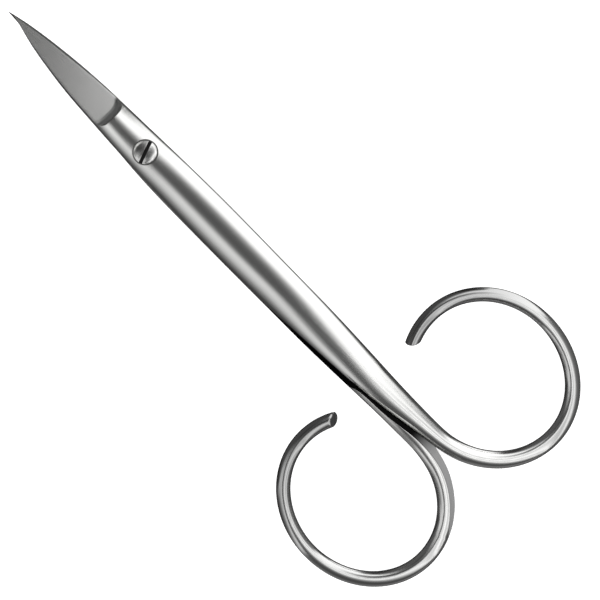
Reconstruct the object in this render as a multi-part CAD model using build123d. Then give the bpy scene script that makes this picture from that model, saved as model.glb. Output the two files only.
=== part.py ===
from build123d import *

import math
import os

# Small thread snips with two finger rings, all steel, 90 mm long, shown closed.
#
# Row frame: +X runs along the blades to the tip, +Y to the left of it, +Z up from the surface that
# the snips lie on. The origin is on the pivot axis, at the flat tail of the pivot screw.
#
# Both halves are forged from one bar each: a ground blade, a half-round body, a shank that becomes
# round wire, and a finger ring left open as a hook. A half is modelled in a frame of its own, with its
# flat inner face on Z = 0, its back on +Z, its cutting edge and its ring on -Y. The front half keeps
# that attitude. The back half is the same forging turned over about X.

# Driving dimensions, mm
CROWN = 1.80            # from the inner face to the top of the half-round body
FACE_GAP = 0.04         # between the two inner faces
MATING_HEIGHT = CROWN   # from the resting surface to the plane between the halves

# Each half's bar, in stations along X: (x, edge on the ring side, edge on the free side, crown height)
FRONT_BLADE = [
    (24.9, -0.45, -0.33, 0.80),
    (23.5, -0.62, 0.03, 0.90),
    (20.9, -1.07, 0.69, 1.10),
    (17.0, -1.58, 1.37, 1.35),
    (13.0, -2.03, 1.87, 1.58),
    (9.5, -2.32, 2.12, 1.74),
    (6.1, -2.48, 2.33, CROWN),
]
BACK_BLADE = [
    (25.7, 0.12, 0.24, 0.75),
    (23.5, -0.02, 0.76, 0.90),
    (20.9, -0.55, 1.23, 1.10),
    (17.0, -1.22, 1.76, 1.35),
    (13.0, -1.73, 2.16, 1.58),
    (9.5, -2.02, 2.38, 1.74),
    (6.1, -2.22, 2.53, CROWN),
]
BODY = [
    (0.0, -2.70, 2.62, CROWN),
    (-11.7, -2.97, 2.91, CROWN),
    (-20.0, -2.95, 2.91, CROWN),
    (-26.0, -2.91, 2.74, CROWN),
]
SHANK = [
    BODY[-1],
    (-28.6, -2.90, 2.64, 1.79),
    (-31.3, -2.88, 2.52, 1.77),
    (-36.5, -2.75, 2.22, 1.71),
    (-41.7, -2.55, 1.86, 1.61),
    (-45.6, -2.41, 1.42, 1.50),
    (-49.6, -2.35, 0.80, 1.38),
    (-52.2, -2.36, 0.37, 1.30),
]

# The ground flat on the outside of a blade, and the scoop where the grinding wheel ran out
FLAT_HEIGHT = 0.68      # of the flat's plane over the pivot axis
FLAT_TILT = 8.5         # degrees, falling to the cutting edge
FLAT_FALL = 0.85        # degrees, falling to the tip
SHOULDER_X = 6.05
SHOULDER_RADIUS = 1.25

# The finger rings' centrelines, ovals with a semi-axis of their own in each of four directions. They
# are bent by hand, so the two differ a little. The wire's free end is cut at an angle round the ring,
# counted in degrees from the shank.
FRONT_RING = dict(
    centre=(-52.42, -11.61), to_shank=10.50, to_far_end=11.48, to_outside=10.14, to_tip=11.12, cut_at=293.5
)
BACK_RING = dict(
    centre=(-52.23, -11.34), to_shank=10.15, to_far_end=11.25, to_outside=10.00, to_tip=11.20, cut_at=296.0
)
RING_START = 10.0
RING_END = 304.0
RING_SECTIONS = 22
WIRE_RADIUS_AT_SHANK = 1.25
WIRE_RADIUS_AT_END = 0.96

# The oblique cut that ends the wire
END_CUT_HEADING = 136.0  # degrees about Z, of the cut's outward normal
END_CUT_TILT = 28.0      # degrees, of that normal below the wire's plane
END_CHAMFER = 0.15

# The step where the full round wire begins beside the flat seat for the other half
STEP_START = (-39.0, -3.30)
STEP_POINTS = [
    (-40.9, -2.36),
    (-45.6, -1.83),
    (-50.6, -1.22),
    (-54.0, -1.13),
    (-57.4, -1.89),
    (-60.0, -3.39),
    (-62.5, -5.80),
    (-64.5, -8.20),
]

# The pivot screw: a slotted head in a counterbore, a plain shoulder that the front half turns on, and
# a thread in the back half
HEAD_RADIUS = 1.58
HEAD_TOP = 1.62         # over the mating plane
HEAD_DOME = 0.30
COUNTERBORE_RADIUS = 1.72
COUNTERBORE_FLOOR = 0.85
HEAD_PLAY = 0.03
SHOULDER_PIN_RADIUS = 1.15
PIVOT_CLEARANCE = 0.04
THREAD_RADIUS = 0.90
SLOT_WIDTH = 0.48
SLOT_DEPTH = 0.55
SLOT_ANGLE = 110.0      # degrees about Z from +X

REACH = 100.0           # longer than anything that a cutter has to pass


def plane_across(x, y, heading):
    """The plane across the bar at (x, y), facing along a heading in degrees about Z. Its y_dir is -Z."""
    along = (math.cos(math.radians(heading)), math.sin(math.radians(heading)), 0)
    across = (along[1], -along[0], 0)
    return Plane(origin=(x, y, 0), x_dir=across, z_dir=along)


def round_section(x, y, heading, half_width, half_height):
    """A whole ellipse, which starts at the bottom, where the seat is cut away."""
    plane = plane_across(x, y, heading)
    return Face(Wire([Edge.make_ellipse(half_width, half_height, plane, start_angle=90, end_angle=450)]))


def half_round_section(x, y, heading, half_width, half_height):
    """The part of an ellipse over the inner face."""
    rise = math.degrees(math.asin(FACE_GAP / 2 / half_height))
    plane = plane_across(x, y, heading)
    back = Edge.make_ellipse(half_width, half_height, plane, start_angle=180 + rise, end_angle=360 - rise)
    return Face(Wire([back, Edge.make_line(back @ 1, back @ 0)]))


def straight_sections(stations, section):
    return [
        section(x, (low + high) / 2, 180, (high - low) / 2, crown) for x, low, high, crown in stations
    ]


def ring_point(ring, angle):
    """A point on a ring's centreline and the heading there; the angle runs from the shank."""
    turn = math.radians(angle)
    reach_x = ring["to_far_end"] if math.sin(turn) > 0 else ring["to_tip"]
    reach_y = ring["to_shank"] if math.cos(turn) > 0 else ring["to_outside"]
    x = ring["centre"][0] - reach_x * math.sin(turn)
    y = ring["centre"][1] + reach_y * math.cos(turn)
    heading = math.degrees(math.atan2(-reach_y * math.sin(turn), -reach_x * math.cos(turn)))
    return x, y, heading


def wire_radius(angle):
    """The wire tapers over the first half of the ring and keeps its size from there."""
    share = min(angle / 180, 1)
    return WIRE_RADIUS_AT_SHANK + share * (WIRE_RADIUS_AT_END - WIRE_RADIUS_AT_SHANK)


def ring_sections(ring):
    step = (RING_END - RING_START) / (RING_SECTIONS - 1)
    angles = [RING_START + step * i for i in range(RING_SECTIONS)]
    return [
        round_section(*ring_point(ring, angle), wire_radius(angle), wire_radius(angle)) for angle in angles
    ]


def seat_cutter():
    """All that lies past the inner face, except the round wire beyond the step."""
    step = Spline([STEP_START] + STEP_POINTS)
    side = 6.0
    rest = Polyline(
        STEP_POINTS[-1],
        (-68, STEP_POINTS[-1][1]),
        (-68, side),
        (30, side),
        (30, -side),
        (STEP_START[0], -side),
        STEP_START,
    )
    outline = make_face(step + rest)
    return Pos(0, 0, FACE_GAP / 2 - REACH) * extrude(outline, REACH)


def blade_cutter():
    """The space over the ground flat, with the wheel's rounded corner at the shoulder."""
    wheel = Box(REACH, REACH, REACH, align=(Align.MIN, Align.CENTER, Align.MIN))
    corner = wheel.edges().filter_by(Axis.Y).sort_by(Axis.Z)[:2].sort_by(Axis.X)[0]
    wheel = fillet(corner, SHOULDER_RADIUS)
    flat_at_shoulder = FLAT_HEIGHT - SHOULDER_X * math.tan(math.radians(FLAT_FALL))
    return Pos(SHOULDER_X, 0, flat_at_shoulder) * Rot(FLAT_TILT, FLAT_FALL, 0) * wheel


def end_cutter(ring):
    """The waste beyond the oblique cut at the free end of the wire."""
    x, y, _ = ring_point(ring, ring["cut_at"])
    level = math.cos(math.radians(END_CUT_TILT))
    normal = (
        level * math.cos(math.radians(END_CUT_HEADING)),
        level * math.sin(math.radians(END_CUT_HEADING)),
        -math.sin(math.radians(END_CUT_TILT)),
    )
    waste = Box(4.6, 4.6, 3.0, align=(Align.CENTER, Align.CENTER, Align.MIN))
    return Plane(origin=(x, y, 0), z_dir=normal) * waste


def blade_and_body(blade):
    bar = loft(straight_sections(blade + BODY, half_round_section))
    return bar - blade_cutter()


def shank_and_ring(ring):
    wire = loft(straight_sections(SHANK, round_section) + ring_sections(ring))
    wire = wire - seat_cutter() - end_cutter(ring)
    end_x, end_y, _ = ring_point(ring, ring["cut_at"])
    cut_face = wire.faces().filter_by(GeomType.PLANE).sort_by_distance((end_x, end_y, 0))[0]
    return chamfer(cut_face.edges(), END_CHAMFER)


def forging(blade, ring):
    """One half without its pivot hole, in its own frame."""
    return blade_and_body(blade) + shank_and_ring(ring)


def cylinder_between(radius, low, high):
    return Pos(0, 0, low) * Cylinder(radius, high - low, align=(Align.CENTER, Align.CENTER, Align.MIN))


def front_half():
    half = forging(FRONT_BLADE, FRONT_RING)
    half -= cylinder_between(SHOULDER_PIN_RADIUS + PIVOT_CLEARANCE, -1, REACH)
    half -= cylinder_between(COUNTERBORE_RADIUS, COUNTERBORE_FLOOR, REACH)
    return Pos(0, 0, MATING_HEIGHT) * half


def back_half():
    half = forging(BACK_BLADE, BACK_RING) - cylinder_between(THREAD_RADIUS, -1, REACH)
    return Pos(0, 0, MATING_HEIGHT) * Rot(180, 0, 0) * half


def pivot_screw():
    dome_radius = (HEAD_RADIUS**2 + HEAD_DOME**2) / (2 * HEAD_DOME)
    head = cylinder_between(HEAD_RADIUS, COUNTERBORE_FLOOR + HEAD_PLAY, HEAD_TOP)
    head &= Pos(0, 0, HEAD_TOP - dome_radius) * Sphere(dome_radius)
    slot = Box(REACH, SLOT_WIDTH, SLOT_DEPTH, align=(Align.CENTER, Align.CENTER, Align.MAX))
    head -= Pos(0, 0, HEAD_TOP) * Rot(0, 0, SLOT_ANGLE) * slot
    shoulder = cylinder_between(SHOULDER_PIN_RADIUS, -FACE_GAP / 2, COUNTERBORE_FLOOR + HEAD_PLAY)
    thread = cylinder_between(THREAD_RADIUS, -MATING_HEIGHT, -FACE_GAP / 2)
    return Pos(0, 0, MATING_HEIGHT) * (head + shoulder + thread)


os.makedirs("parts", exist_ok=True)
export_step(front_half(), "parts/front_half.step")
export_step(back_half(), "parts/back_half.step")
export_step(pivot_screw(), "parts/pivot_screw.step")
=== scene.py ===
import math

import bmesh
import bpy
import numpy as np
from mathutils import Matrix


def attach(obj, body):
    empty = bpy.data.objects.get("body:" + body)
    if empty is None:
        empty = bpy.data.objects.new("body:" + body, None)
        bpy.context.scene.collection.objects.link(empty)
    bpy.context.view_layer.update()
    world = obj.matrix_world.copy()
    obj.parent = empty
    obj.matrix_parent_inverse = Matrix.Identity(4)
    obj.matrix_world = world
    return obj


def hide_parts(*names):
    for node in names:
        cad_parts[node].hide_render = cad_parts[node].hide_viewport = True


# Small all-steel thread snips, shown closed. The two halves and the screw are built here as fine, smooth
# meshes with rounded edges. They have the shape and the place of the CAD nodes that they stand for.
# The snips' own sizes are in millimetres in each half's own frame, with its flat inner face on Z = 0, its
# back on +Z and its cutting edge and ring on -Y. The finished meshes are put in the row frame in metres.

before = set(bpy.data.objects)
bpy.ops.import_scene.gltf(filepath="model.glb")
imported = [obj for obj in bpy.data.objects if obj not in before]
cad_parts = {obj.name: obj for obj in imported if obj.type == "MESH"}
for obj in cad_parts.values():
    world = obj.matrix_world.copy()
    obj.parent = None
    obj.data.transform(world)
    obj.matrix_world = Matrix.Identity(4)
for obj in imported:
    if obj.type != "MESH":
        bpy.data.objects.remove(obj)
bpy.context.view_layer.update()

MM = 0.001
MATING_HEIGHT = 1.80
FACE_GAP = 0.04
INNER = FACE_GAP / 2
CROWN = 1.80

# Stations along the bar: (x, edge on the ring side, edge on the free side, crown height)
FRONT_BLADE = [
    (24.9, -0.45, -0.33, 0.80),
    (23.5, -0.62, 0.03, 0.90),
    (20.9, -1.07, 0.69, 1.10),
    (17.0, -1.58, 1.37, 1.35),
    (13.0, -2.03, 1.87, 1.58),
    (9.5, -2.32, 2.12, 1.74),
    (6.1, -2.48, 2.33, CROWN),
]
BACK_BLADE = [
    (25.7, 0.12, 0.24, 0.75),
    (23.5, -0.02, 0.76, 0.90),
    (20.9, -0.55, 1.23, 1.10),
    (17.0, -1.22, 1.76, 1.35),
    (13.0, -1.73, 2.16, 1.58),
    (9.5, -2.02, 2.38, 1.74),
    (6.1, -2.22, 2.53, CROWN),
]
BODY_AND_SHANK = [
    (0.0, -2.70, 2.62, CROWN),
    (-11.7, -2.97, 2.91, CROWN),
    (-20.0, -2.95, 2.91, CROWN),
    (-26.0, -2.91, 2.74, CROWN),
    (-28.6, -2.90, 2.64, 1.79),
    (-31.3, -2.88, 2.52, 1.77),
    (-36.5, -2.75, 2.22, 1.71),
    (-41.7, -2.55, 1.86, 1.61),
    (-45.6, -2.41, 1.42, 1.50),
    (-49.6, -2.35, 0.80, 1.38),
    (-52.2, -2.36, 0.37, 1.30),
]

# The ground flat of the blade, and the scoop where the grinding wheel ran out
FLAT_HEIGHT = 0.68
FLAT_TILT = math.radians(8.5)
FLAT_FALL = math.radians(0.85)
SHOULDER_X = 6.05
SHOULDER_RADIUS = 1.25
SHOULDER_BOW = 0.75      # how far the shoulder curves towards the tip, SHOULDER_BOW_REACH away from Y = 0
SHOULDER_BOW_REACH = 2.4

# The finger rings, ovals with a semi-axis of their own in each of four directions
FRONT_RING = dict(
    centre=(-52.42, -11.61), to_shank=10.50, to_far_end=11.48, to_outside=10.14, to_tip=11.12, cut_at=293.5
)
BACK_RING = dict(
    centre=(-52.23, -11.34), to_shank=10.15, to_far_end=11.25, to_outside=10.00, to_tip=11.20, cut_at=296.0
)
RING_START = 10.0
RING_END = 322.0
RING_STATIONS = 27
WIRE_RADIUS_AT_SHANK = 1.25
WIRE_RADIUS_AT_END = 0.96
TRIM_FROM = 270.0        # degrees round the ring, where the rows begin to lean to the oblique cut
END_CUT_HEADING = math.radians(136)
END_CUT_TILT = math.radians(28)
END_CHAMFER = 0.15

# The step where the full round wire begins beside the flat seat for the other half
STEP = [
    (-39.0, -3.30),
    (-40.9, -2.36),
    (-45.6, -1.83),
    (-50.6, -1.22),
    (-54.0, -1.13),
    (-57.4, -1.89),
    (-60.0, -3.39),
    (-62.5, -5.80),
    (-64.5, -8.20),
]

# The pivot screw
HEAD_RADIUS = 1.58
HEAD_TOP = 1.62
HEAD_DOME = 0.30
COUNTERBORE_RADIUS = 1.72
COUNTERBORE_FLOOR = 0.85
HEAD_PLAY = 0.03
SHOULDER_PIN_RADIUS = 1.15
PIVOT_CLEARANCE = 0.04
THREAD_RADIUS = 0.90
SLOT_WIDTH = 0.48
SLOT_DEPTH = 0.55
SLOT_ANGLE = math.radians(110)

# How fine the meshes are
ROW_SPACING = 0.4
ROW_BEFORE_SHOULDER = 0.0005
ROW_AFTER_SHOULDER = 0.02
SCOOP_ROWS = 26
ARC_POINTS = 15
LINE_POINTS = 13
WALL_POINTS = 3
LOWER_POINTS = 24
CORNER_POINTS = 3
EDGE_ROUNDING = 0.05
EDGE_FACET = 0.10        # width in plan of the honed facet along the cutting edge
FACET_RUN = 1.5          # the length in which the facet grows to its full width
FACET_SHARE = 0.3        # of the flat's width, which the facet never passes
FACET_ROUNDING = 0.2     # of EDGE_ROUNDING, in the sections with a facet
TRIM_SHARE = 0.45        # of a path's length, which the rounding of an edge never passes
TRACE_POINTS = 40        # points on each path of a section before it is resampled
CORNER_SEARCH_POINTS = 1200
STEP_SEARCH_POINTS = 600
STEP_SEARCH_REACH = 1.5  # past the wire's side, where a crossing with the step still counts
LOOKUP_LENGTH = 80       # longer than the straight part of the bar, counted from the tip
LOOKUP_POINTS = 4001
MERGE_DISTANCE = 0.0008
SHORTEST_EDGE = 0.0005
TINY = 1e-9
FLAT_FACE = 1            # material index of the ground flat
SLOT_FACE = 1            # material index of the painted shade in the screw's slot
SHARP_ANGLE = math.radians(38)
CUTTER_LOW = -1          # below and above the half, the ends of what cuts through it
CUTTER_HIGH = 3
RING_BEGINS_BELOW_Y = -4.0

# How the screw is made
LATHE_SIDES = 128
RIM_ROUNDING = 0.08
RIM_STEPS = 6
DOME_STEPS = 9
SLOT_CUTTER_LENGTH = 6
SLOT_CUTTER_HEIGHT = 2
SLOT_MARGIN = 0.01
STEEP = 0.3              # the Z of a face's normal, below which the face is a wall
WORN_EDGE = 0.035
WORN_EDGE_ANGLE = math.radians(50)

# The steel's colour, with painted shade on the inner faces between the halves. Places are in mm, measured
# along the bar from the pivot, across it as Y in the half's own frame, or up from the inner face. Each pair
# is where a change begins and ends.
# Painted shade between the halves: near black in the gap beside the front half's edge, lighter grey on the
# seat nearer the ring
GAP_SHADE_BEGINS = (14.0, 31.0)
GAP_SHADE_ENDS = (50.5, 55.0)
GAP_SHADE_SIDE = (-0.5, 0.7)
WHOLE_WIDTH = (46.0, 51.0)       # where the painted shade spreads over the whole width of the seat
ABOVE_INNER_FACE = (0.05, 0.10)
BELOW_INNER_FACE = (-0.05, 0.0)
GAP_SHADE_COLOUR = 0.003
SEAT_SHADE_COLOUR = 0.22
# The ring's wire is made darker in two steps towards its cut end
DARKER_WIRE = (56.0, 70.0)
DARKER_WIRE_SHARE = 0.4
DARKER_WIRE_COLOUR = 0.5
DARKEST_WIRE = (84.0, 98.0)
DARKEST_WIRE_SHARE = 0.6
DARKEST_WIRE_COLOUR = 0.25
DARKER_TONE = 0.93
TONE_SCALE = 0.22                # of the slow changes of tone along the grain
TONE_SCALE_ON_SCREW = 220
LINE_CONTRAST = (0.3, 0.7)
LINE_HEIGHT = 2e-5               # metres
SCREW_GRAIN = (4000, 4000, 4000)

# The camera, in metres
CAMERA_LENS = 200                # mm
CAMERA_SENSOR = 36               # mm
CAMERA_TURN = math.radians(225.4)
CAMERA_CLIP = (0.01, 20)
VIEW_WIDTH = 78.24 * MM
VIEW_MIDDLE = (-27.9 * MM, -0.84 * MM)
FLOOR_HALF_WIDTH = 3.0
FLOOR_GLOW = 0.75

# The light tent, in metres, and what shines in it: (degrees round the X axis from straight up, negative
# towards -Y, strength), over the body, the blade and the rings
TENT_SIDES = 96
TENT_RADIUS = 0.09
TENT_LENGTH = 0.26
TENT_MIDDLE = -0.03
TENT_PEAK = 2.2
SHOULDER_TURN = (0.002, 0.008, 0, -17)       # between two places on X, the light turns by these degrees
TIP_TURN = (0.008, 0.027, 0, 14)
PAST_TIP_TURN = (0.036, 0.048, 0, -7)
SHANK_TURN = (-0.051, -0.027, -44, 0)
BODY_TO_BLADE = (0.010, 0.018)
RINGS_TO_BODY = (-0.058, -0.049)
BEYOND_TIP = (0.045, 0.100)
BEYOND_TIP_LIGHT = 0.12
BLADE_FADE = (0.006, 0.034, 1.9, 0.45)       # between two places on X, the blade's light is scaled by these
BODY_LIGHT = [
    (-180, 0.06),
    (-138, 0.07),
    (-124, 0.5),
    (-112, 1.6),
    (-50, 1.6),
    (-40, 1.4),
    (-34, 1.0),
    (-27, 0.50),
    (-20, 0.24),
    (-12, 0.13),
    (0, 0.10),
    (9, 0.13),
    (14, 0.25),
    (20, 0.60),
    (27, 0.92),
    (36, 0.90),
    (44, 0.78),
    (54, 0.58),
    (66, 0.34),
    (81, 0.18),
    (104, 0.07),
    (180, 0.05),
]
BLADE_LIGHT = [
    (-180, 0.06),
    (-86, 0.10),
    (-66, 0.70),
    (-52, 1.25),
    (-36, 1.15),
    (-27, 0.50),
    (-20, 0.24),
    (-12, 0.13),
    (9, 0.13),
    (20, 0.60),
    (36, 0.90),
    (54, 0.58),
    (81, 0.18),
    (104, 0.07),
    (180, 0.05),
]
RING_LIGHT = [
    (-180, 0.10),
    (-110, 0.12),
    (-72, 0.18),
    (-52, 0.26),
    (-42, 0.55),
    (-34, 1.1),
    (-24, 1.4),
    (-17, 0.8),
    (-12, 0.75),
    (-7, 1.2),
    (-1, 1.7),
    (4, 1.2),
    (8, 0.8),
    (13, 1.6),
    (19, 1.1),
    (30, 0.4),
    (46, 0.12),
    (70, 0.08),
    (90, 0.14),
    (120, 0.25),
    (180, 0.10),
]


def spline_through(knots, values, places):
    """Reads a natural cubic spline, which passes through values at knots, at each of places."""
    knots, values, places = (np.asarray(a, float) for a in (knots, values, places))
    gap = np.diff(knots)
    slope = np.diff(values, axis=0) / gap[:, None]
    count = len(knots)
    system = np.eye(count)
    wanted = np.zeros_like(values)
    for i in range(1, count - 1):
        system[i, i - 1 : i + 2] = gap[i - 1], 2 * (gap[i - 1] + gap[i]), gap[i]
        wanted[i] = 6 * (slope[i] - slope[i - 1])
    bend = np.linalg.solve(system, wanted)
    i = np.clip(np.searchsorted(knots, places) - 1, 0, count - 2)
    left = ((knots[i + 1] - places) / gap[i])[:, None]
    right = 1 - left
    pull = (left**3 - left) * bend[i] + (right**3 - right) * bend[i + 1]
    return left * values[i] + right * values[i + 1] + pull * (gap[i] ** 2)[:, None] / 6


def ring_station(ring, angle):
    """Centre x and y, heading in radians, half width and half height of the wire, at an angle in degrees."""
    turn = math.radians(angle)
    reach_x = ring["to_far_end"] if math.sin(turn) > 0 else ring["to_tip"]
    reach_y = ring["to_shank"] if math.cos(turn) > 0 else ring["to_outside"]
    x = ring["centre"][0] - reach_x * math.sin(turn)
    y = ring["centre"][1] + reach_y * math.cos(turn)
    heading = math.atan2(-reach_y * math.sin(turn), -reach_x * math.cos(turn))
    share = min(angle / 180, 1)
    radius = WIRE_RADIUS_AT_SHANK + share * (WIRE_RADIUS_AT_END - WIRE_RADIUS_AT_SHANK)
    return [x, y, heading, radius, radius]


def straight_station(x, low, high, crown):
    return [x, (low + high) / 2, math.pi, (high - low) / 2, crown]


class Bar:
    """The bar of one half as a smooth run of stations, read at a distance along it."""

    def __init__(self, blade, ring):
        straight = [straight_station(*row) for row in blade + BODY_AND_SHANK]
        angles = np.linspace(RING_START, RING_END, RING_STATIONS)
        stations = np.array(straight + [ring_station(ring, angle) for angle in angles])
        stations[:, 2] = np.unwrap(stations[:, 2])
        steps = np.linalg.norm(np.diff(stations[:, :2], axis=0), axis=1)
        self.knots = np.concatenate([[0], np.cumsum(steps)])
        self.stations = stations
        self.ring = ring
        self.trim_start = np.interp(TRIM_FROM, angles, self.knots[len(straight) :])

    def at(self, distances):
        return spline_through(self.knots, self.stations, distances)

    def distance_at_x(self, x):
        """The distance along the straight part where the bar crosses x."""
        tries = np.linspace(0, LOOKUP_LENGTH, LOOKUP_POINTS)
        return float(np.interp(-x, -self.at(tries)[:, 0], tries))


def ground_height(x, y):
    """Height of the ground face at each y in the section at x: first the flat, then the scoop."""
    beyond = x - SHOULDER_X - SHOULDER_BOW * (y / SHOULDER_BOW_REACH) ** 4
    flat = FLAT_HEIGHT - x * math.tan(FLAT_FALL) + y * math.tan(FLAT_TILT)
    into_corner = np.clip(SHOULDER_RADIUS - beyond, 0, SHOULDER_RADIUS)
    scoop = SHOULDER_RADIUS - np.sqrt(SHOULDER_RADIUS**2 - into_corner**2)
    return np.where(beyond > 0, flat + scoop, CROWN + 1)


def ground_corners(station):
    """The angles round the section where the ground face meets the half-round back, free side first."""
    x, centre_y, _, half_width, half_height = station
    lift = math.asin(INNER / half_height)
    angles = np.linspace(lift, math.pi - lift, CORNER_SEARCH_POINTS)
    over = half_height * np.sin(angles) - ground_height(x, centre_y + half_width * np.cos(angles))
    ground = np.nonzero(over > 0)[0]
    if len(ground) == 0:
        return angles[np.argmax(over)], angles[np.argmax(over)]
    return angles[ground[0]], angles[ground[-1]]


def resampled(path, count):
    steps = np.linalg.norm(np.diff(path, axis=0), axis=1)
    run = np.concatenate([[0], np.cumsum(steps)])
    if run[-1] < TINY:
        return np.repeat(path[:1], count, axis=0)
    places = np.linspace(0, run[-1], count)
    return np.stack([np.interp(places, run, path[:, k]) for k in range(2)], axis=1)


def trimmed(path, amount):
    """A path without its two ends, each shorter by amount or by TRIM_SHARE of the path."""
    steps = np.linalg.norm(np.diff(path, axis=0), axis=1)
    run = np.concatenate([[0], np.cumsum(steps)])
    cut = min(amount, TRIM_SHARE * run[-1])
    if run[-1] < TINY:
        return path
    places = np.linspace(cut, run[-1] - cut, len(path))
    return np.stack([np.interp(places, run, path[:, k]) for k in range(2)], axis=1)


def section_points(station, seat_edge):
    """The closed outline of a section with its edges rounded, as (across, height) points."""
    x, centre_y, _, half_width, half_height = station
    lift = math.asin(INNER / half_height)
    free, ringward = ground_corners(station)
    reach = half_width * math.cos(lift)
    seat_edge = min(max(seat_edge, -reach), reach)
    lower_start = lift if seat_edge >= reach else -math.acos(seat_edge / half_width)

    def arc(start, end):
        angles = np.linspace(start, end, TRACE_POINTS)
        return np.stack([half_width * np.cos(angles), half_height * np.sin(angles)], axis=1)

    def line(start, end):
        return np.linspace(start, end, TRACE_POINTS)

    lower = arc(lower_start, -math.pi - lift if seat_edge > -reach else lower_start)
    if seat_edge <= -reach:
        lower = np.repeat([[-reach, INNER]], TRACE_POINTS, axis=0)
    ring_arc, free_arc = arc(math.pi - lift, ringward), arc(free, lift)
    honed = EDGE_FACET * min(max((x - SHOULDER_X - SHOULDER_RADIUS) / FACET_RUN, 0), 1)
    honed = min(honed, FACET_SHARE * (free_arc[0][0] - ring_arc[-1][0]))
    ground = np.linspace(ring_arc[-1][0] + honed, free_arc[0][0], TRACE_POINTS)
    ground = np.stack([ground, ground_height(x, centre_y + ground)], axis=1)
    if x < SHOULDER_X or free == ringward:
        ground = np.repeat(ring_arc[-1:], TRACE_POINTS, axis=0)
    if honed > 0:
        ring_arc = line(ring_arc[0], ground[0])
    seat_corner = np.array([seat_edge, INNER])
    pieces = [
        (ring_arc, ARC_POINTS),
        (ground, LINE_POINTS),
        (free_arc, ARC_POINTS),
        (line(free_arc[-1], seat_corner), LINE_POINTS),
        (line(seat_corner, lower[0]), WALL_POINTS),
        (lower, LOWER_POINTS),
    ]
    rounding = FACET_ROUNDING * EDGE_ROUNDING if honed > 0 else EDGE_ROUNDING
    cut = [resampled(trimmed(path, rounding), count) for path, count in pieces]
    share = np.linspace(0, 1, CORNER_POINTS + 2)[1:-1, None]
    outline = []
    for i, points in enumerate(cut):
        corner, after = pieces[i][0][-1], cut[(i + 1) % len(cut)][0]
        outline.append(points)
        outline.append((1 - share) ** 2 * points[-1] + 2 * share * (1 - share) * corner + share**2 * after)
    return np.concatenate(outline)


def seat_edges(stations):
    """For each section, the place across it where the seat ends and the full round wire begins."""
    step = np.array(STEP)
    run = np.concatenate([[0], np.cumsum(np.linalg.norm(np.diff(step, axis=0), axis=1))])
    step = spline_through(run, step, np.linspace(0, run[-1], STEP_SEARCH_POINTS))
    edges = []
    for x, y, heading, half_width, _ in stations:
        along = np.array([math.cos(heading), math.sin(heading)])
        across = np.array([math.sin(heading), -math.cos(heading)])
        ahead = (step - (x, y)) @ along
        aside = (step - (x, y)) @ across
        crossed = np.nonzero((ahead[:-1] < 0) != (ahead[1:] < 0))[0]
        crossed = [i for i in crossed if abs(aside[i]) < half_width + STEP_SEARCH_REACH]
        if crossed:
            edges.append(aside[crossed[0]])
        else:
            started = len(edges) > 0 and edges[-1] > 0
            edges.append(half_width if started else -half_width)
    return edges


def row_distances(bar):
    """Where the rows of the mesh lie along the bar, closer together in the scoop."""
    shoulder = bar.distance_at_x(SHOULDER_X)
    turn = np.linspace(0, math.pi / 2, SCOOP_ROWS)
    scoop = shoulder - ROW_BEFORE_SHOULDER - (SHOULDER_RADIUS + SHOULDER_BOW) * (1 - np.cos(turn))
    before = np.arange(0, scoop[-1] - ROW_SPACING / 2, ROW_SPACING)
    after = np.arange(shoulder + ROW_AFTER_SHOULDER, bar.knots[-1], ROW_SPACING)
    return np.concatenate([before, scoop[::-1], after])


def in_space(station, outline):
    x, y, heading = station[:3]
    across = np.array([math.sin(heading), -math.cos(heading)])
    place = np.array([x, y]) + outline[:, :1] * across
    return np.concatenate([place, outline[:, 1:]], axis=1)


def end_normal():
    level = math.cos(END_CUT_TILT)
    heading = END_CUT_HEADING
    return np.array([level * math.cos(heading), level * math.sin(heading), -math.sin(END_CUT_TILT)])


def trimmed_end(bar, rows, distances):
    """Leans the last rows of the wire to the oblique cut and adds the chamfer round it."""
    normal = end_normal()
    x, y = ring_station(bar.ring, bar.ring["cut_at"])[:2]
    height = (rows - (x, y, 0)) @ normal
    first = int(np.searchsorted(distances, bar.trim_start))
    kept = rows[:first]
    lines = []
    for j in range(rows.shape[1]):
        beyond = height[first:, j]
        stop = float(np.interp(-END_CHAMFER, beyond, distances[first:]))
        places = np.linspace(distances[first], stop, len(distances) - first)
        lines.append(
            np.stack([np.interp(places, distances[first:], rows[first:, j, k]) for k in range(3)], axis=1)
        )
    wire = np.concatenate([kept, np.stack(lines, axis=1)])
    rim = wire[-1] + END_CHAMFER * normal
    middle = rim.mean(axis=0)
    inset = middle + (rim - middle) * (1 - END_CHAMFER / WIRE_RADIUS_AT_END)
    return np.concatenate([wire, inset[None]])


def grid_mesh(name, rows):
    """A closed skin over rows of points, with its ends filled."""
    count, around = rows.shape[:2]
    skin = bmesh.new()
    verts = [[skin.verts.new(point) for point in row] for row in rows]
    flat_from = ARC_POINTS + CORNER_POINTS
    flat_to = flat_from + LINE_POINTS - 1
    for i in range(count - 1):
        for j in range(around):
            k = (j + 1) % around
            face = skin.faces.new((verts[i][j], verts[i][k], verts[i + 1][k], verts[i + 1][j]))
            on_flat = flat_from <= j < flat_to and rows[i, j, 0] > SHOULDER_X + SHOULDER_RADIUS / 2
            face.material_index = FLAT_FACE if on_flat else 0
    skin.faces.new(verts[0])
    skin.faces.new(reversed(verts[-1]))
    bmesh.ops.remove_doubles(skin, verts=skin.verts, dist=MERGE_DISTANCE)
    bmesh.ops.dissolve_degenerate(skin, edges=skin.edges, dist=SHORTEST_EDGE)
    bmesh.ops.recalc_face_normals(skin, faces=skin.faces)
    mesh = bpy.data.meshes.new(name)
    skin.to_mesh(mesh)
    skin.free()
    return mesh


def add_object(name, mesh, materials=()):
    for material in materials:
        mesh.materials.append(material)
    made = bpy.data.objects.new(name, mesh)
    bpy.context.scene.collection.objects.link(made)
    return made


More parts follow.
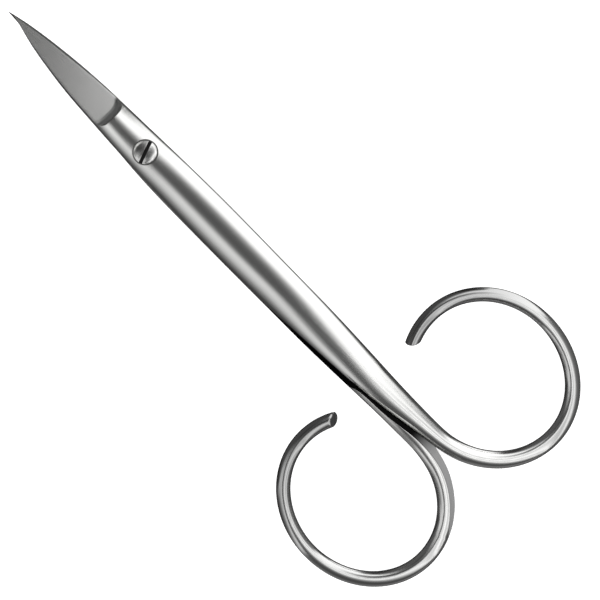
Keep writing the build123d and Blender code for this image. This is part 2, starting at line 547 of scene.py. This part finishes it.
def lathe(name, profile, materials=()):
    """A solid turned about Z from (radius, height) points, of which the first and last lie on the axis."""
    turned = bmesh.new()
    rings = []
    for radius, height in profile[1:-1]:
        turns = [2 * math.pi * i / LATHE_SIDES for i in range(LATHE_SIDES)]
        rings.append([turned.verts.new((radius * math.cos(a), radius * math.sin(a), height)) for a in turns])
    for below, above in zip(rings, rings[1:]):
        for i in range(LATHE_SIDES):
            k = (i + 1) % LATHE_SIDES
            turned.faces.new((below[i], below[k], above[k], above[i]))
    for ring, (_, height) in ((rings[0], profile[0]), (rings[-1], profile[-1])):
        pole = turned.verts.new((0, 0, height))
        for i in range(LATHE_SIDES):
            turned.faces.new((ring[i], ring[(i + 1) % LATHE_SIDES], pole))
    bmesh.ops.recalc_face_normals(turned, faces=turned.faces)
    mesh = bpy.data.meshes.new(name)
    turned.to_mesh(mesh)
    turned.free()
    return add_object(name, mesh, materials)


def cylinder(name, radius, low, high):
    return lathe(name, [(0, low), (radius, low), (radius, high), (0, high)])


def baked(piece):
    """Applies a piece's modifiers to its mesh."""
    evaluated = piece.evaluated_get(bpy.context.evaluated_depsgraph_get())
    mesh = bpy.data.meshes.new_from_object(evaluated)
    piece.modifiers.clear()
    piece.data = mesh
    return piece


def subtract(piece, tool):
    cut = piece.modifiers.new("cut", "BOOLEAN")
    cut.operation = "DIFFERENCE"
    cut.solver = "EXACT"
    cut.object = tool
    bpy.context.view_layer.update()
    baked(piece)
    bpy.data.objects.remove(tool)
    return piece


def wire_grain(mesh, ring):
    """Stores (distance along the bar, across, height) on each point, for lines that follow the wire."""
    centre_x, centre_y = ring["centre"]
    grain = mesh.attributes.new("grain", "FLOAT_VECTOR", "POINT")
    for i, vertex in enumerate(mesh.vertices):
        x, y, z = vertex.co
        if x > centre_x and y > RING_BEGINS_BELOW_Y:
            grain.data[i].vector = (-x, y, z)
        else:
            angle = math.atan2(centre_x - x, y - centre_y) % (2 * math.pi)
            radius = math.hypot(x - centre_x, y - centre_y)
            grain.data[i].vector = (-centre_x + ring["to_shank"] * angle, radius + centre_y, z)


def finish_piece(piece, placed):
    """Puts a piece in the row frame in metres and smooths its shading, with flat faces left flat."""
    piece.data.transform(Matrix.Scale(MM, 4) @ placed)
    piece.data.shade_smooth()
    piece.data.set_sharp_from_angle(angle=SHARP_ANGLE)
    weighted = piece.modifiers.new("weighted normals", "WEIGHTED_NORMAL")
    weighted.keep_sharp = True
    return piece


def half_mesh(name, blade, ring, materials):
    bar = Bar(blade, ring)
    distances = row_distances(bar)
    stations = bar.at(distances)
    edges = seat_edges(stations)
    rows = np.stack([in_space(s, section_points(s, edge)) for s, edge in zip(stations, edges)])
    return add_object(name, grid_mesh(name, trimmed_end(bar, rows, distances)), materials)


def front_half(materials):
    half = half_mesh("front_half_steel", FRONT_BLADE, FRONT_RING, materials)
    subtract(half, cylinder("bore", SHOULDER_PIN_RADIUS + PIVOT_CLEARANCE, CUTTER_LOW, CUTTER_HIGH))
    subtract(half, cylinder("counterbore", COUNTERBORE_RADIUS, COUNTERBORE_FLOOR, CUTTER_HIGH))
    wire_grain(half.data, FRONT_RING)
    return finish_piece(half, Matrix.Translation((0, 0, MATING_HEIGHT)))


def back_half(materials):
    half = half_mesh("back_half_steel", BACK_BLADE, BACK_RING, materials)
    subtract(half, cylinder("tapped_hole", THREAD_RADIUS, CUTTER_LOW, CUTTER_HIGH))
    wire_grain(half.data, BACK_RING)
    turned_over = Matrix.Translation((0, 0, MATING_HEIGHT)) @ Matrix.Rotation(math.pi, 4, "X")
    return finish_piece(half, turned_over)


def screw_profile():
    """The screw's outline from tail to head as (radius, height), with a rounded rim and a low dome."""
    dome_radius = (HEAD_RADIUS**2 + HEAD_DOME**2) / (2 * HEAD_DOME)
    profile = [(0, -MATING_HEIGHT), (THREAD_RADIUS, -MATING_HEIGHT), (THREAD_RADIUS, -INNER)]
    profile += [(SHOULDER_PIN_RADIUS, -INNER), (SHOULDER_PIN_RADIUS, COUNTERBORE_FLOOR + HEAD_PLAY)]
    profile += [(HEAD_RADIUS, COUNTERBORE_FLOOR + HEAD_PLAY)]
    for i in range(RIM_STEPS + 1):
        turn = i / RIM_STEPS * math.pi / 2
        radius = HEAD_RADIUS - RIM_ROUNDING * (1 - math.cos(turn))
        profile.append((radius, HEAD_TOP - HEAD_DOME - RIM_ROUNDING * (1 - math.sin(turn))))
    for i in range(1, DOME_STEPS):
        radius = (HEAD_RADIUS - RIM_ROUNDING) * (1 - i / DOME_STEPS)
        profile.append((radius, HEAD_TOP - dome_radius + math.sqrt(dome_radius**2 - radius**2)))
    return profile + [(0, HEAD_TOP)]


def slot_cutter():
    """A bar across the screw's head, at the slot's angle, with its lower side on the slot's floor."""
    slot = bmesh.new()
    bmesh.ops.create_cube(slot, size=1)
    size = Matrix.Diagonal((SLOT_CUTTER_LENGTH, SLOT_WIDTH, SLOT_CUTTER_HEIGHT, 1))
    middle = HEAD_TOP - SLOT_DEPTH + SLOT_CUTTER_HEIGHT / 2
    slot.transform(Matrix.Translation((0, 0, middle)) @ Matrix.Rotation(SLOT_ANGLE, 4, "Z") @ size)
    mesh = bpy.data.meshes.new("slot")
    slot.to_mesh(mesh)
    slot.free()
    return add_object("slot", mesh)


def paint_slot_shade(screw):
    """Gives the floor and the walls of the slot the dark material of painted shade, as the deep narrow slot
    lies in shade.
    """
    floor_height = HEAD_TOP - SLOT_DEPTH
    for face in screw.data.polygons:
        along_slot = Matrix.Rotation(-SLOT_ANGLE, 3, "Z") @ face.center
        over_floor = face.center.z > floor_height - SLOT_MARGIN
        inside = abs(along_slot.y) < SLOT_WIDTH / 2 + SLOT_MARGIN and over_floor
        walled = face.center.z < floor_height + SLOT_MARGIN or abs(face.normal.z) < STEEP
        face.material_index = SLOT_FACE if inside and walled else 0


def pivot_screw(materials):
    """The screw, turned, slotted for a screwdriver, and a little worn on its edges."""
    screw = lathe("pivot_screw_steel", screw_profile(), materials)
    subtract(screw, slot_cutter())
    paint_slot_shade(screw)
    bevel = screw.modifiers.new("worn edges", "BEVEL")
    bevel.width = WORN_EDGE
    bevel.segments = 3
    bevel.limit_method = "ANGLE"
    bevel.angle_limit = WORN_EDGE_ANGLE
    bpy.context.view_layer.update()
    baked(screw)
    return finish_piece(screw, Matrix.Translation((0, 0, MATING_HEIGHT)))


def node(tree, kind, links=(), **settings):
    """Adds a shader node, sets its named properties and inputs, and links its inputs."""
    made = tree.nodes.new(kind)
    for key, value in settings.items():
        if key in made.inputs:
            made.inputs[key].default_value = value
        else:
            setattr(made, key, value)
    for key, source in links:
        tree.links.new(source, made.inputs[key])
    return made


def gap_shade_and_darker_wire(tree, grain, colour):
    """Painted shade, near black, on the inner faces between the shanks where the gap between the halves lies
    in shade, lighter on the seat near the ring, and a wire that grows darker towards its cut end.
    """
    axes = node(tree, "ShaderNodeSeparateXYZ", [("Vector", grain)]).outputs
    on_inner_face = ranged(tree, axes["Z"], *ABOVE_INNER_FACE, 1.0, 0.0)
    after_body = ranged(tree, axes["X"], *GAP_SHADE_BEGINS, 0.0, 1.0)
    on_ring_side = ranged(tree, axes["Y"], *GAP_SHADE_SIDE, 1.0, 0.0)
    near_ring = ranged(tree, axes["X"], *WHOLE_WIDTH, 0.0, 1.0)
    side = node(tree, "ShaderNodeMath", [(0, on_ring_side), (1, near_ring)], operation="MAXIMUM").outputs[0]
    over_lower_side = ranged(tree, axes["Z"], *BELOW_INNER_FACE, 0.0, 1.0)
    # Where the painted shade lies: on the inner face between the shanks, on the ring side, and over the
    # whole seat near the ring
    gap_shade_mask = after_body
    for part in (side, on_inner_face, over_lower_side):
        gap_shade_mask = node(tree, "ShaderNodeMath", [(0, gap_shade_mask), (1, part)], operation="MULTIPLY").outputs[0]
    # The painted shade's colour: near black between the shanks, lighter grey on the seat near the ring
    seat = blend(tree, ranged(tree, axes["X"], *GAP_SHADE_ENDS, 0.0, 1.0), GAP_SHADE_COLOUR, SEAT_SHADE_COLOUR)
    # The wire's colour grows darker in two steps towards its cut end
    darker_wire = ranged(tree, axes["X"], *DARKER_WIRE, 0.0, DARKER_WIRE_SHARE)
    colour = blend(tree, darker_wire, colour, DARKER_WIRE_COLOUR)
    darkest_wire = ranged(tree, axes["X"], *DARKEST_WIRE, 0.0, DARKEST_WIRE_SHARE)
    colour = blend(tree, darkest_wire, colour, DARKEST_WIRE_COLOUR)
    return blend(tree, gap_shade_mask, colour, seat)


def steel(name, colour, roughness, line_depth, line_scale, sheen_spread, from_grain=True):
    """Satin steel: fine lines along the grain in its bump and roughness, and slow changes of tone."""
    material = bpy.data.materials.new(name)
    material.use_nodes = True
    tree = material.node_tree
    shader = tree.nodes["Principled BSDF"]
    shader.inputs["Metallic"].default_value = 1.0
    if from_grain:
        place = node(tree, "ShaderNodeAttribute", attribute_name="grain").outputs["Vector"]
    else:
        place = node(tree, "ShaderNodeTexCoord").outputs["Object"]
    stretched = node(tree, "ShaderNodeMapping", [("Vector", place)], Scale=line_scale).outputs["Vector"]
    lines = node(tree, "ShaderNodeTexNoise", [("Vector", stretched)], Scale=1.0, Detail=3.0, Roughness=0.6)
    tone_scale = TONE_SCALE if from_grain else TONE_SCALE_ON_SCREW
    slow = node(tree, "ShaderNodeTexNoise", [("Vector", place)], Scale=tone_scale, Detail=2.0)
    smoothest, roughest = roughness - sheen_spread, roughness + sheen_spread
    rough = ranged(tree, lines.outputs["Fac"], *LINE_CONTRAST, smoothest, roughest, "LINEAR")
    tree.links.new(rough, shader.inputs["Roughness"])
    tone = node(tree, "ShaderNodeMix", [("Factor", slow.outputs["Fac"])], data_type="RGBA")
    tone.inputs["A"].default_value = [c * DARKER_TONE for c in colour] + [1]
    tone.inputs["B"].default_value = list(colour) + [1]
    colour_out = tone.outputs["Result"]
    # On the halves: painted shade between them, and a wire that grows darker towards its cut end
    if from_grain:
        colour_out = gap_shade_and_darker_wire(tree, place, colour_out)
    tree.links.new(colour_out, shader.inputs["Base Color"])
    height = [("Height", lines.outputs["Fac"])]
    bump = node(tree, "ShaderNodeBump", height, Strength=line_depth, Distance=LINE_HEIGHT)
    tree.links.new(bump.outputs["Normal"], shader.inputs["Normal"])
    return material


def camera():
    """Straight above the snips with a long lens, turned so that the tip points to the upper left."""
    lens = bpy.data.cameras.new("camera")
    lens.lens = CAMERA_LENS
    lens.sensor_width = CAMERA_SENSOR
    lens.clip_start, lens.clip_end = CAMERA_CLIP
    top = 2 * MATING_HEIGHT * MM
    distance = VIEW_WIDTH * lens.lens / lens.sensor_width
    made = add_object("camera", lens)
    made.location = (*VIEW_MIDDLE, top + distance)
    made.rotation_euler = (0, 0, CAMERA_TURN)
    bpy.context.scene.camera = made


def ramp(tree, place, stops):
    """Reads strength from (degrees, strength) stops; place runs from 0 at -180 to 1 at 180 degrees."""
    made = node(tree, "ShaderNodeValToRGB", [("Fac", place)])
    colours = made.color_ramp.elements
    while len(colours) < len(stops):
        colours.new(0.5)
    for element, (angle, strength) in zip(colours, stops):
        element.position = (angle + 180) / 360
        level = strength / TENT_PEAK
        element.color = (level, level, level, 1)
    return made.outputs["Color"]


def ranged(tree, value, low, high, start, end, kind="SMOOTHSTEP"):
    """Start below low, end above high, and a smooth change between them."""
    made = node(tree, "ShaderNodeMapRange", [("Value", value)], interpolation_type=kind)
    for key, number in (("From Min", low), ("From Max", high), ("To Min", start), ("To Max", end)):
        made.inputs[key].default_value = number
    return made.outputs["Result"]


def blend(tree, factor, first, second):
    made = node(tree, "ShaderNodeMix", [("Factor", factor)], data_type="RGBA")
    for socket, source in ((made.inputs[6], first), (made.inputs[7], second)):
        if isinstance(source, float):
            socket.default_value = (source, source, source, 1)
        else:
            tree.links.new(source, socket)
    return made.outputs[2]


def light_tent():
    """A tube of soft light round the snips, which only reflections see, brighter on -Y and dark overhead."""
    tube = bmesh.new()
    bmesh.ops.create_cone(
        tube, cap_ends=True, segments=TENT_SIDES, radius1=TENT_RADIUS, radius2=TENT_RADIUS, depth=TENT_LENGTH
    )
    tube.transform(Matrix.Translation((TENT_MIDDLE, 0, 0)) @ Matrix.Rotation(math.pi / 2, 4, "Y"))
    mesh = bpy.data.meshes.new("light_tent")
    tube.to_mesh(mesh)
    tube.free()
    made = add_object("light_tent", mesh)
    made.visible_camera = made.visible_diffuse = made.visible_shadow = made.visible_transmission = False

    material = bpy.data.materials.new("light_tent")
    material.use_nodes = True
    tree = material.node_tree
    tree.nodes.clear()
    place = node(tree, "ShaderNodeNewGeometry").outputs["Position"]
    axes = node(tree, "ShaderNodeSeparateXYZ", [("Vector", place)]).outputs
    angle = node(tree, "ShaderNodeMath", [(0, axes["Y"]), (1, axes["Z"])], operation="ARCTAN2").outputs[0]
    round_tube = ranged(tree, angle, -math.pi, math.pi, 0.0, 1.0, "LINEAR")
    along = axes["X"]
    shifted = round_tube
    for (start, end, first, last), kind in (
        (SHOULDER_TURN, "SMOOTHSTEP"),
        (TIP_TURN, "LINEAR"),
        (PAST_TIP_TURN, "SMOOTHSTEP"),
        (SHANK_TURN, "LINEAR"),
    ):
        shift = ranged(tree, along, start, end, first / 360, last / 360, kind)
        shifted = node(tree, "ShaderNodeMath", [(0, shifted), (1, shift)], operation="ADD").outputs[0]
    over_body = ramp(tree, shifted, BODY_LIGHT)
    over_rings = ramp(tree, round_tube, RING_LIGHT)
    fading = ranged(tree, along, *BLADE_FADE, "LINEAR")
    links = [(0, ramp(tree, shifted, BLADE_LIGHT)), ("Scale", fading)]
    over_blade = node(tree, "ShaderNodeVectorMath", links, operation="SCALE").outputs["Vector"]
    light = blend(tree, ranged(tree, along, *BODY_TO_BLADE, 0.0, 1.0), over_body, over_blade)
    light = blend(tree, ranged(tree, along, *RINGS_TO_BODY, 0.0, 1.0), over_rings, light)
    light = blend(tree, ranged(tree, along, *BEYOND_TIP, 0.0, 1.0), light, BEYOND_TIP_LIGHT / TENT_PEAK)
    glow = node(tree, "ShaderNodeEmission", [("Color", light)], Strength=TENT_PEAK)
    output = node(tree, "ShaderNodeOutputMaterial")
    tree.links.new(glow.outputs[0], output.inputs["Surface"])
    mesh.materials.append(material)


def surroundings():
    world = bpy.data.worlds.new("surroundings")
    bpy.context.scene.world = world
    world.use_nodes = True
    world.node_tree.nodes["Background"].inputs["Color"].default_value = (1, 1, 1, 1)
    world.node_tree.nodes["Background"].inputs["Strength"].default_value = 1.0


def floor():
    """A pale floor that glows a little, so that the shadow on it stays faint."""
    surface = bmesh.new()
    bmesh.ops.create_grid(surface, x_segments=1, y_segments=1, size=FLOOR_HALF_WIDTH)
    mesh = bpy.data.meshes.new("floor")
    surface.to_mesh(mesh)
    surface.free()
    made = add_object("floor", mesh)
    made.visible_glossy = False
    material = bpy.data.materials.new("pale_floor")
    material.use_nodes = True
    shader = material.node_tree.nodes["Principled BSDF"]
    shader.inputs["Base Color"].default_value = (0.9, 0.9, 0.9, 1)
    shader.inputs["Roughness"].default_value = 0.9
    shader.inputs["Emission Color"].default_value = (1, 1, 1, 1)
    shader.inputs["Emission Strength"].default_value = FLOOR_GLOW
    mesh.materials.append(material)


bpy.context.scene.view_settings.view_transform = "Standard"
satin = steel("satin_steel", (0.72, 0.72, 0.71), 0.14, 0.2, (0.1, 14, 14), 0.03)
ground = steel("ground_steel", (0.70, 0.70, 0.69), 0.23, 0.35, (0.5, 22, 22), 0.03)
screw_steel = steel("screw_steel", (0.74, 0.74, 0.73), 0.20, 0.3, SCREW_GRAIN, 0.04, from_grain=False)
# Painted shade in the screw's slot: a near black steel on its floor and walls
slot_painted_shade = steel("slot_painted_shade", (0.05, 0.05, 0.05), 0.45, 0.3, SCREW_GRAIN, 0.04, from_grain=False)

front = front_half([satin, ground])
back = back_half([satin, ground])
screw = pivot_screw([screw_steel, slot_painted_shade])
for piece, body, stood_for, slot_name in (
    (front, "front", "front_half", "satin_steel"),
    (back, "back", "back_half", "satin_steel"),
    (screw, "back", "pivot_screw", "screw_steel"),
):
    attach(piece, body)
    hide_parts(stood_for)

camera()
light_tent()
surroundings()
floor()
